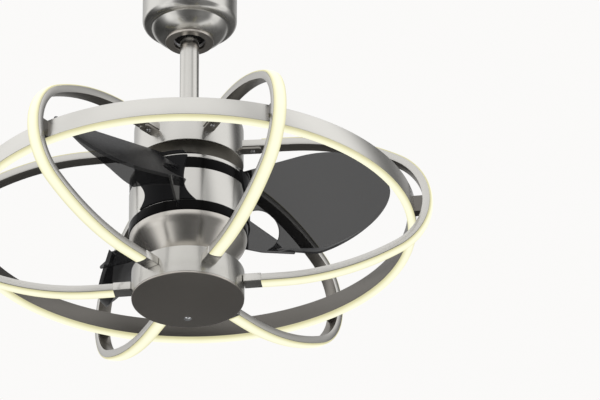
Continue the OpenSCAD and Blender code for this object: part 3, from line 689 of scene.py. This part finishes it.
makeCanopy()
makeCanopyRing(**trimRing)
makeTube("hangingRod", "downrod", **rod)
makeYoke(**yoke)
makeHangerPins(**crossPin)
makeCouplingCover(**cup)
print("canopy, rod and coupling are turned")

housing = dict(edge=14.0, sheet=1.5, shaftHole=8.0, footEdge=0.5)


def makeHousing(edge, sheet, shaftHole, footEdge):
    radius, low, high = span("upper_housing")
    corner = (radius - edge, high - edge)
    points = [(radius, low), *arc(corner, edge, 0, 90, 10), (shaftHole, high), (shaftHole, high - sheet),
              *arc(corner, edge - sheet, 90, 0, 10), (radius - sheet, low)]
    settle("housingDrum", turnedSolid(points, {0: footEdge}), "turnedNickel", "upper_housing")


housingFloor = dict(hole=38.0, sheet=1.5, thick=2.0, collar=5.0, innerEdge=0.5, outerEdge=0.6)


def makeHousingFloor(hole, sheet, thick, collar, innerEdge, outerEdge):
    rim, low, high = span("housing_floor")
    points = [(hole, low), (rim, low), (rim, high), (rim - sheet, high), (rim - sheet, low + thick),
              (hole + thick, low + thick), (hole + thick, low + collar), (hole, low + collar)]
    bm = turnedSolid(points, {0: innerEdge, 1: outerEdge})
    settle("housingFloorPlate", bm, "shadowNickel", "housing_floor")


motor = dict(wall=1.5, edge=0.3)
topRing = dict(hole=26.0, cap=2.5, skirt=3.6, lip=1.5, lowEdge=0.7, highEdge=1.2)


def makeTopRing(hole, cap, skirt, lip, lowEdge, highEdge):
    radius, low, high = span("top_ring")
    under, seat, inside = high - cap, span("motor_shell")[2], radius - skirt
    points = [(hole, under), (inside, under), (inside, low), (radius - lip, low), (radius - lip, seat),
              (radius, seat), (radius, high), (hole, high)]
    bm = turnedSolid(points, {5: lowEdge, 6: highEdge}, segments=4)
    settle("topBlackRing", bm, "glossBlack", "top_ring")


carrier = dict(hole=26.0, cap=3.0, skirt=3.4, lowEdge=0.6, highEdge=1.0)


def makeBladeCarrier(hole, cap, skirt, lowEdge, highEdge):
    radius, low, high = span("blade_plate")
    under, inside = high - cap, radius - skirt
    points = [(hole, under), (inside, under), (inside, low), (radius, low), (radius, high), (hole, high)]
    bm = turnedSolid(points, {3: lowEdge, 4: highEdge}, segments=4)
    settle("bladeCarrier", bm, "turnedNickel", "blade_plate")


bottomRing = dict(hole=26.0, floor=7.7, cap=4.8, skirt=4.1, lip=1.7, lowEdge=1.2, highEdge=0.7)


def makeBottomRing(hole, floor, cap, skirt, lip, lowEdge, highEdge):
    radius, low, high = span("bottom_ring")
    under, over, seat = high - floor, high - cap, span("motor_shell")[1]
    inside, groove = radius - skirt, radius - lip
    points = [(hole, under), (inside, under), (inside, low), (radius, low), (radius, seat), (groove, seat),
              (groove, high), (inside, high), (inside, over), (hole, over)]
    bm = turnedSolid(points, {3: lowEdge, 4: highEdge}, segments=4)
    settle("bottomBlackRing", bm, "glossBlack", "bottom_ring")


cone = dict(slope=36.9, rounding=27.5, sheet=1.5, shaftHole=10.05)


def makeCone(slope, rounding, sheet, shaftHole):
    radius, low, top = span("lower_cone")
    steep = math.radians(slope)
    centre = (radius - rounding, top)

    def side(depth):
        line = arc(centre, rounding - depth, -slope, 0, 16)
        knee = line[0]
        return [(knee[0] - (knee[1] - low) * math.tan(steep), low), *line]

    outer, inner = side(0), side(sheet)
    foot = (inner[0][0] + sheet * math.tan(steep), low + sheet)
    points = [(shaftHole, low), *outer, *reversed(inner[1:]), foot, (shaftHole, low + sheet)]
    settle("spunCone", turnedSolid(points, steps=160), "coneNickel", "lower_cone", sharp=25)


hub = dict(sheet=1.5, lowEdge=0.4, highEdge=1.0, shaftHole=10.05, ledgeHole=72.0, ledgeLow=3.5, ledgeHigh=5.0)


def makeHub(sheet, lowEdge, highEdge, shaftHole, ledgeHole, ledgeLow, ledgeHigh):
    radius, low, high = span("light_hub")
    inside, under = radius - sheet, high - sheet
    points = [(inside, low), (radius, low), (radius, high), (shaftHole, high), (shaftHole, under),
              (inside, under), (inside, low + ledgeHigh), (ledgeHole, low + ledgeHigh),
              (ledgeHole, low + ledgeLow), (inside, low + ledgeLow)]
    settle("hubDrum", turnedSolid(points, {1: lowEdge, 2: highEdge}), "hubNickel", "light_hub")


bottomPlate = dict(thick=2.6, edge=0.7)


def makeBottomPlate(thick, edge):
    radius, low = span("bottom_plate")[:2]
    points = [(nearAxis, low), (radius, low), (radius, low + thick), (nearAxis, low + thick)]
    settle("bottomCover", turnedSolid(points, {1: edge}), "plateNickel", "bottom_plate", merge=0.05)


lens = dict(radius=5.5, height=2.5, place=53.0, rimWidth=1.05, rim=0.2, stem=5.5)


def makeLens(radius, height, place, rimWidth, rim, stem):
    ball = (radius ** 2 + height ** 2) / (2 * height)
    rise = math.degrees(math.asin(radius / ball))
    dome = [(x, -y) for x, y in arc((0, height - ball), ball, 90, 90 - rise, 10)]
    dome[0] = (nearAxis, dome[0][1])
    points = [*dome, (radius - rimWidth, rim), (radius - rimWidth, stem), (nearAxis, stem)]
    bm = turnedSolid(points, steps=48)
    shift(bm, (0, place, 0))
    settle("sensorDome", bm, "clearLens", "sensor_lens", merge=0.05)


makeHousing(**housing)
makeHousingFloor(**housingFloor)
makeTube("motorDrum", "motor_shell", **motor)
makeTopRing(**topRing)
makeBladeCarrier(**carrier)
makeBottomRing(**bottomRing)
makeCone(**cone)
makeHub(**hub)
makeBottomPlate(**bottomPlate)
makeLens(**lens)
print("drums, rings and hub are turned")

# each arm runs out of the hub, rises, bends round the ring and comes back over the housing
arm = dict(width=19.1, depth=10.2, wall=1.5, level=24.0, start=80.2, end=76.45, edge=0.5, lipEdge=0.25,
           riseStart=131.0, riseRadius=347.2, riseTurn=27.64, noseRadius=75.46, noseTurn=123.83,
           backRadius=329.8, backTurn=26.87)


def armBends():
    # centre, turn and number of steps of each bend, in distance from the axis and level
    rise = Vector((arm["riseStart"], arm["level"] + arm["riseRadius"]))
    after = math.radians(arm["riseTurn"])
    nose = rise + (arm["riseRadius"] - arm["noseRadius"]) * Vector((math.sin(after), -math.cos(after)))
    after += math.radians(arm["noseTurn"])
    back = nose + (arm["noseRadius"] - arm["backRadius"]) * Vector((math.sin(after), -math.cos(after)))
    after += math.radians(arm["backTurn"])
    end = back + arm["backRadius"] * Vector((math.sin(after), -math.cos(after)))
    return [(rise, arm["riseTurn"], 20), (nose, arm["noseTurn"], 72), (back, arm["backTurn"], 20)], end, after


bends, backEnd, backHeading = armBends()


def sweepArm(i, points, rounding, start, end, mark=None):
    # a section of width and depth, depth being towards the light, swept along arm i
    bm = bmesh.new()
    section = outlineFace(bm, points, lambda y, d: (start, y, arm["level"] - d), rounding, segments=2)
    across = bm.verts.layers.float.new("across")
    glow = bm.verts.layers.float.new("glow")
    run = 0.0
    loop = section.loops[0]
    for _ in section.verts:
        loop.vert[across] = run * mm
        if mark:
            loop.vert[glow] = mark(loop.vert.co.y, arm["level"] - loop.vert.co.z)
        run += loop.edge.calc_length()
        loop = loop.link_loop_next
    geom = pushOut(bm, [section] + section.edges[:] + section.verts[:], (arm["riseStart"] - start, 0, 0))
    for centre, turn, steps in bends:
        geom = bmesh.ops.spin(bm, geom=geom, cent=(centre.x, 0, centre.y), axis=(0, -1, 0),
                              angle=math.radians(turn), steps=steps)["geom_last"]
    straight = (end - backEnd.x) / math.cos(backHeading)
    pushOut(bm, geom, (straight * math.cos(backHeading), 0, straight * math.sin(backHeading)))
    return copiesAround(bm, 1, armTurn + i * 360 / armCount)


def makeArm(i):
    half, depth, wall = arm["width"] / 2, arm["depth"] / 2, arm["wall"]
    section = [(-half, depth), (-half, -depth), (half, -depth), (half, depth), (half - wall, depth),
               (half - wall, wall - depth), (wall - half, wall - depth), (wall - half, depth)]
    edges = {**dict.fromkeys((0, 3, 4, 7), arm["lipEdge"]), **dict.fromkeys((1, 2), arm["edge"])}
    bm = sweepArm(i, section, edges, arm["start"], arm["end"])
    # as in the photo, the drums mirror none of the arms
    channel = settle(f"armChannel{i + 1}", bm, "barNickel", f"arm_channel_{i + 1}", mirrored=False)
    turn = math.radians(armTurn + i * 360 / armCount)
    aside = Vector((-math.sin(turn), math.cos(turn), 0))
    # all faces but the arm's sides, its back among them, take the darker nickel: painted shade
    paint(channel, "archNickel", lambda face: abs(face.normal.dot(aside)) < 0.5)


armCover = dict(start=103.0, width=18.6, rise=3.0, crown=0.7, lipGap=0.45, stem=3.0, stemGap=0.05)


def coverGlow(away):
    # full along a light cover's middle, at 0, and a quarter along its side, at 1
    return 1 - 0.75 * away ** 3


def coverArc(half, foot, top, steps=12):
    # the crowned outer face of a light cover, from one side to the other
    angles = [math.pi * k / steps for k in range(steps + 1)]
    return [(half * math.cos(a), foot + (top - foot) * math.sin(a) ** armCover["crown"]) for a in angles]


def makeArmLight(i):
    half, depth = armCover["width"] / 2, arm["depth"] / 2
    stem = arm["width"] / 2 - arm["wall"] - armCover["stemGap"]
    foot, top, end = depth + armCover["lipGap"], depth + armCover["rise"], depth - armCover["stem"]
    section = [(-stem, end), (stem, end), (stem, foot), *coverArc(half, foot, top), (-stem, foot)]
    slack = 0.01

    def glow(y, d):
        return coverGlow(abs(y) / half) if d > foot - slack and abs(y) < half + slack else 0.0

    bm = sweepArm(i, section, {}, armCover["start"], armCover["start"], glow)
    settle(f"armCover{i + 1}", bm, "warmCover", f"arm_light_{i + 1}", sharp=50, mirrored=False)


sleeve = dict(start=78.1, end=103.0, wall=0.95, edge=0.8, mouth=0.27, pocket=22.0)


def makeSleeves(start, end, wall, edge, mouth, pocket):
    size = (end - start, arm["width"] + 2 * wall, arm["depth"] + 2 * wall)
    bm = roundedBox(size, (start + size[0] / 2, 0, arm["level"]), edge, segments=3)
    opening = max(bm.faces, key=lambda f: f.calc_center_median().x * (f.normal.x > 0.99))
    bmesh.ops.inset_region(bm, faces=[opening], thickness=mouth)
    pushOut(bm, [opening], (-pocket, 0, 0))
    bmesh.ops.delete(bm, geom=[opening], context="FACES")
    settle("armSockets", copiesAround(bm, armCount, armTurn), "turnedNickel", "arm_sleeves")


def underArm(bm, distance):
    # puts what is in bm under the arm's returning end, at a distance from the axis
    tilt = math.pi - backHeading
    shift(bm, (0, 0, -arm["depth"] / 2))
    turnBy(bm, math.degrees(tilt), "Y")
    shift(bm, (distance, 0, backEnd.y + (backEnd.x - distance) * math.tan(tilt)))
    return bm


tab = dict(inner=72.0, width=15.0, thick=3.0, corner=3.0, rounding=1.0, gap=0.05)
tabScrew = dict(headRadius=3.6, headHeight=2.0, shankRadius=2.0, length=9.0, gap=0.1, place=90.0)


def makeUpperBrackets():
    length, half, corner = armCover["start"] - tab["inner"], tab["width"] / 2, tab["corner"]
    outline = [(0, -half), (length - corner, -half), (length, corner - half), (length, half - corner),
               (length - corner, half), (0, half)]
    bm, under = bmesh.new(), -tab["thick"] - tab["gap"]
    outlineFace(bm, outline, lambda x, y: (x, y, under), dict.fromkeys((1, 2, 3, 4), tab["rounding"]))
    pushOut(bm, bm.faces[:], (0, 0, tab["thick"]))
    underArm(bm, tab["inner"])
    # the tabs take the darker nickel, which is painted shade
    settle("archTabs", copiesAround(bm, armCount, armTurn), "tabNickel", "upper_brackets")
    bm = screwSolid(tabScrew)
    shift(bm, (0, 0, -tab["thick"] - tabScrew["headHeight"] - tabScrew["gap"]))
    underArm(bm, tabScrew["place"])
    settle("tabScrews", copiesAround(bm, armCount, armTurn), "machinedSteel", "bracket_screws")


for armNumber in range(armCount):
    makeArm(armNumber)
    makeArmLight(armNumber)
makeSleeves(**sleeve)
makeUpperBrackets()
print("six arms are bent")

ring = dict(wall=1.5, width=12.0, pocket=14.0, edge=0.6, lipEdge=0.4, coverRadius=5.9, coverDrop=0.85,
            coverStem=3.0, stemGap=0.05, steps=288)


def makeRing(wall, width, pocket, edge, lipEdge, coverRadius, coverDrop, coverStem, stemGap, steps):
    radius, low, high = span("ring_channel")
    inner, ceiling = radius - width, low + pocket
    points = [(inner, low), (inner + wall, low), (inner + wall, ceiling), (radius - wall, ceiling),
              (radius - wall, low), (radius, low), (radius, high), (inner, high)]
    bm = turnedSolid(points, {0: lipEdge, 5: lipEdge, 6: edge, 7: edge}, steps)
    channel = settle("ringChannel", bm, "ringNickel", "ring_channel", mirrored=False)
    # the faces on the ring's inner side take the darker nickel, which is painted shade
    innerFace = (inner + 0.2) * mm
    paint(channel, "insideNickel", lambda face: face.center.xy.length < innerFace)
    middle, stem, top = inner + width / 2, wall + stemGap, low + coverStem
    bulge = arc((middle, low - coverDrop), coverRadius, 180, 360, 18)
    bm = turnedSolid([(inner + stem, top), *bulge, (radius - stem, top)], steps=steps)
    glow = bm.verts.layers.float.new("glow")
    for vert in bm.verts:
        away = abs(math.hypot(vert.co.x, vert.co.y) - middle) / coverRadius
        vert[glow] = coverGlow(away) if vert.co.z < low else 0.0
    settle("ringCover", bm, "warmCover", "ring_light", sharp=50, mirrored=False)


ringBlock = dict(width=15.0, gap=0.05, shorter=1.0, steps=6)


def makeRingBlocks(width, gap, shorter, steps):
    radius, low, high = span("ring_channel")
    low, high, inner = low + shorter, high - shorter, radius + gap
    nose, reach = bends[1][0], arm["noseRadius"] - arm["depth"] / 2 - gap
    levels = [low + (high - low) * i / steps for i in range(steps + 1)]
    outer = [(nose.x + math.sqrt(reach ** 2 - (h - nose.y) ** 2), h) for h in levels]
    bm = bmesh.new()
    outlineFace(bm, [(inner, low), *outer, (inner, high)], lambda r, h: (r, -width / 2, h))
    pushOut(bm, bm.faces[:], (0, width, 0))
    # the blocks take the darker nickel, which is painted shade
    settle("ringBlocks", copiesAround(bm, armCount, armTurn), "insideNickel", "ring_brackets")


makeRing(**ring)
makeRingBlocks(**ringBlock)
print("the ring is closed")

# a blade's panel is drawn flat, x outward and y down the slope
blade = dict(pitch=46.98, turn=-28.33, level=230.65, thick=5.0, edge=1.4, root=(42, 42), tip=(266, 116),
             trail=(163, 175), rootLow=(68, 155.5), inner=(56, 95),
             leadCurve=((150, 41), (218, 39), (264, 66)), tipCurve=((267, 140), (224, 171)),
             trailCurve=((140, 177), (115, 168)), bendStart=160, bendRadius=400, bendSteps=14,
             cutout=29.0, cutoutAt=(66, 127.5), cutoutReach=40)
rib = dict(thick=3.0, depth=27.0, reach=200.0, side=(
    (62, 0), (62, -9), (90, -10.5), (123, -16.5), (150, -27), (169, -22), (193, -14), (215, -9), (240, -5),
    (262, 0)))


def toPanel(bm):
    # from the flat drawing to its pitched place
    turnBy(bm, -blade["pitch"], "X")
    turnBy(bm, blade["turn"], "Z")
    shift(bm, (0, 0, blade["level"]))


def bendUp(bm):
    # the outer part of the flat blade is cut into strips and curved up
    start, radius, steps = blade["bendStart"], blade["bendRadius"], blade["bendSteps"]
    for i in range(steps):
        place = (start + (blade["tip"][0] - start) * i / steps, 0, 0)
        bmesh.ops.bisect_plane(bm, geom=bm.verts[:] + bm.edges[:] + bm.faces[:], dist=0.01, plane_co=place,
                               plane_no=(1, 0, 0))
    for vert in bm.verts:
        past = max(0, vert.co.x - start)
        vert.co.z += radius - math.sqrt(radius ** 2 - past ** 2)


def slab(points, place, thickness, edge=0):
    # an outline given a thickness along the place's third axis, with rounded edges all round when an edge is
    # given
    bm = bmesh.new()
    outlineFace(bm, points, lambda x, y: place(x, y, 0))
    pushOut(bm, bm.faces[:], Vector(place(0, 0, thickness)) - Vector(place(0, 0, 0)))
    bmesh.ops.recalc_face_normals(bm, faces=bm.faces)
    if edge:
        # the rims of the broad faces, and none of the short upright edges between small faces
        rims = [e for e in bm.edges if abs(e.calc_face_angle()) > math.radians(50) and
                any(len(f.verts) > 4 or f.calc_area() > 400 for f in e.link_faces)]
        bmesh.ops.bevel(bm, geom=rims, offset=edge, segments=3, profile=0.5, affect="EDGES", material=-1,
                        clamp_overlap=True)
    return bm


def lowerEdge(inward=0.0):
    line = [*bezier(blade["tip"], *blade["tipCurve"], blade["trail"], 22),
            *bezier(blade["trail"], *blade["trailCurve"], blade["rootLow"], 16)[1:]]
    return [(x, y - inward) for x, y in line]


def shape(name, bm):
    bmesh.ops.recalc_face_normals(bm, faces=bm.faces)
    return objectFrom(name, bm)


def reshape(part, change):
    bm = bmesh.new()
    bm.from_mesh(part.data)
    change(bm)
    bm.to_mesh(part.data)
    bm.free()
    return part


def combine(first, parts):
    # each part is joined to, cut from or crossed with the first, and then removed
    for part, operation in parts:
        modifier = first.modifiers.new("combine", "BOOLEAN")
        modifier.operation = operation
        modifier.solver = "EXACT"
        modifier.object = part
        depsgraph = bpy.context.evaluated_depsgraph_get()
        mesh = bpy.data.meshes.new_from_object(first.evaluated_get(depsgraph))
        first.modifiers.clear()
        first.data = mesh
        bpy.data.objects.remove(part)
    return first


def drum(radius, low, high, steps=144):
    bm = bmesh.new()
    bmesh.ops.create_cone(bm, cap_ends=True, segments=steps, radius1=radius, radius2=radius, depth=high - low)
    shift(bm, (0, 0, (low + high) / 2))
    return bm


def makePanel():
    # the broad panel and the rib under its low edge, still flat, then bent and pitched
    lead = bezier(*blade["leadCurve"], blade["tip"], 22)
    outline = [blade["root"], *lead, *lowerEdge()[1:], blade["cutoutAt"], blade["inner"]]
    half = blade["thick"] / 2
    panel = shape("panel", slab(outline, lambda x, y, z: (x, y, z - half), blade["thick"], blade["edge"]))
    ribLine = [*lowerEdge(), *reversed(lowerEdge(rib["thick"]))]
    ribPart = shape("rib", slab(ribLine, lambda x, y, z: (x, y, z - rib["depth"]), rib["depth"]))
    ribSide = shape("ribSide", slab(rib["side"], lambda x, y, z: (x, z, y), rib["reach"]))
    combine(ribPart, [(ribSide, "INTERSECT")])
    cutout = drum(blade["cutout"], -blade["cutoutReach"], blade["cutoutReach"], 96)
    shift(cutout, (*blade["cutoutAt"], 0))
    reshape(panel, bendUp)
    reshape(ribPart, bendUp)
    combine(panel, [(ribPart, "UNION"), (shape("cutout", cutout), "DIFFERENCE")])
    return reshape(panel, toPanel)


# the web stands upright under the panel, the waisted skin and the tongue clasp the motor
web = dict(turn=20.5, thick=3.0,
           outline=((82, 149), (134, 120.6), (158, 109), (158, 106), (110, 98.5), (82, 98.5)))
skin = dict(gap=0.1, thick=3.0, foot=0.1, top=71.1, reach=100.0, coreFoot=60,
            left=((-44, 183), (-42, 150), (-4, 136), (-33, 112)),
            right=((51, 112), (32, 132), (33, 146), (40, 183)))
tongue = dict(lift=0.05, thick=4.0, levels=(150, 250), outline=((46, -4), (90, -30), (90, 36), (46, 34)))


def makeBladeMesh():
    radius = span("motor_shell")[0] + skin["gap"]
    shellLow, seat = span("motor_shell")[1], span("blade_plate")[2] + tongue["lift"]
    panel = makePanel()
    bm = slab(web["outline"], lambda x, y, z: (x, web["thick"] / 2 - z, y), web["thick"])
    webPart = shape("web", copiesAround(bm, 1, web["turn"]))
    skinPart = shape("skin", drum(radius + skin["thick"], shellLow + skin["foot"], shellLow + skin["top"]))
    waist = [*bezier(*skin["left"], 14), *bezier(*skin["right"], 14)]
    waistPart = shape("waist", slab(waist, lambda y, h, x: (x, y, h), skin["reach"]))
    combine(skinPart, [(waistPart, "INTERSECT")])
    core = shape("core", drum(radius, skin["coreFoot"], seat))
    tonguePart = shape("tongue", slab(tongue["outline"], lambda x, y, z: (x, y, seat + z), tongue["thick"]))
    limit = shape("limit", drum(radius + skin["thick"], *tongue["levels"]))
    combine(tonguePart, [(limit, "INTERSECT")])
    return combine(panel, [(webPart, "UNION"), (skinPart, "UNION"), (core, "DIFFERENCE"),
                           (tonguePart, "UNION")])


bladeScrew = dict(headRadius=3.8, headHeight=2.4, shankRadius=2.0, length=9.4, gap=0.1,
                  places=((57, 24), (74, 18)))


def makeBlades():
    model = makeBladeMesh()
    for letter, turn in bladeTurns.items():
        bm = bmesh.new()
        bm.from_mesh(model.data)
        copiesAround(bm, 1, turn)
        settle(f"fanBlade{letter.upper()}", bm, "smokedBlade", f"blade_{letter}", merge=0.01, mirrored=False)
    bpy.data.objects.remove(model)
    screws = bmesh.new()
    top = span("blade_plate")[2] + tongue["thick"] + bladeScrew["headHeight"] + bladeScrew["gap"]
    for x, y in bladeScrew["places"]:
        screw = screwSolid(bladeScrew)
        turnBy(screw, 180, "X")
        shift(screw, (x, y, top))
        addTo(screws, screw)
    settle("bladeScrews", copiesAround(screws, 3), "machinedSteel", "blade_screws")


canopyScrew = dict(headRadius=3.6, headHeight=2.2, shankRadius=2.0, length=10.2, gap=0.05, drop=10.0)


def makeCanopyScrews():
    bm = screwSolid(canopyScrew)
    turnBy(bm, -90, "Y")
    out = span("canopy")[0] + canopyScrew["headHeight"] + canopyScrew["gap"]
    shift(bm, (out, 0, drop - canopyScrew["drop"]))
    settle("canopyScrews", copiesAround(bm, 2), "machinedSteel", "canopy_screws")


makeBlades()
makeCanopyScrews()
print("blades are moulded and screwed on")
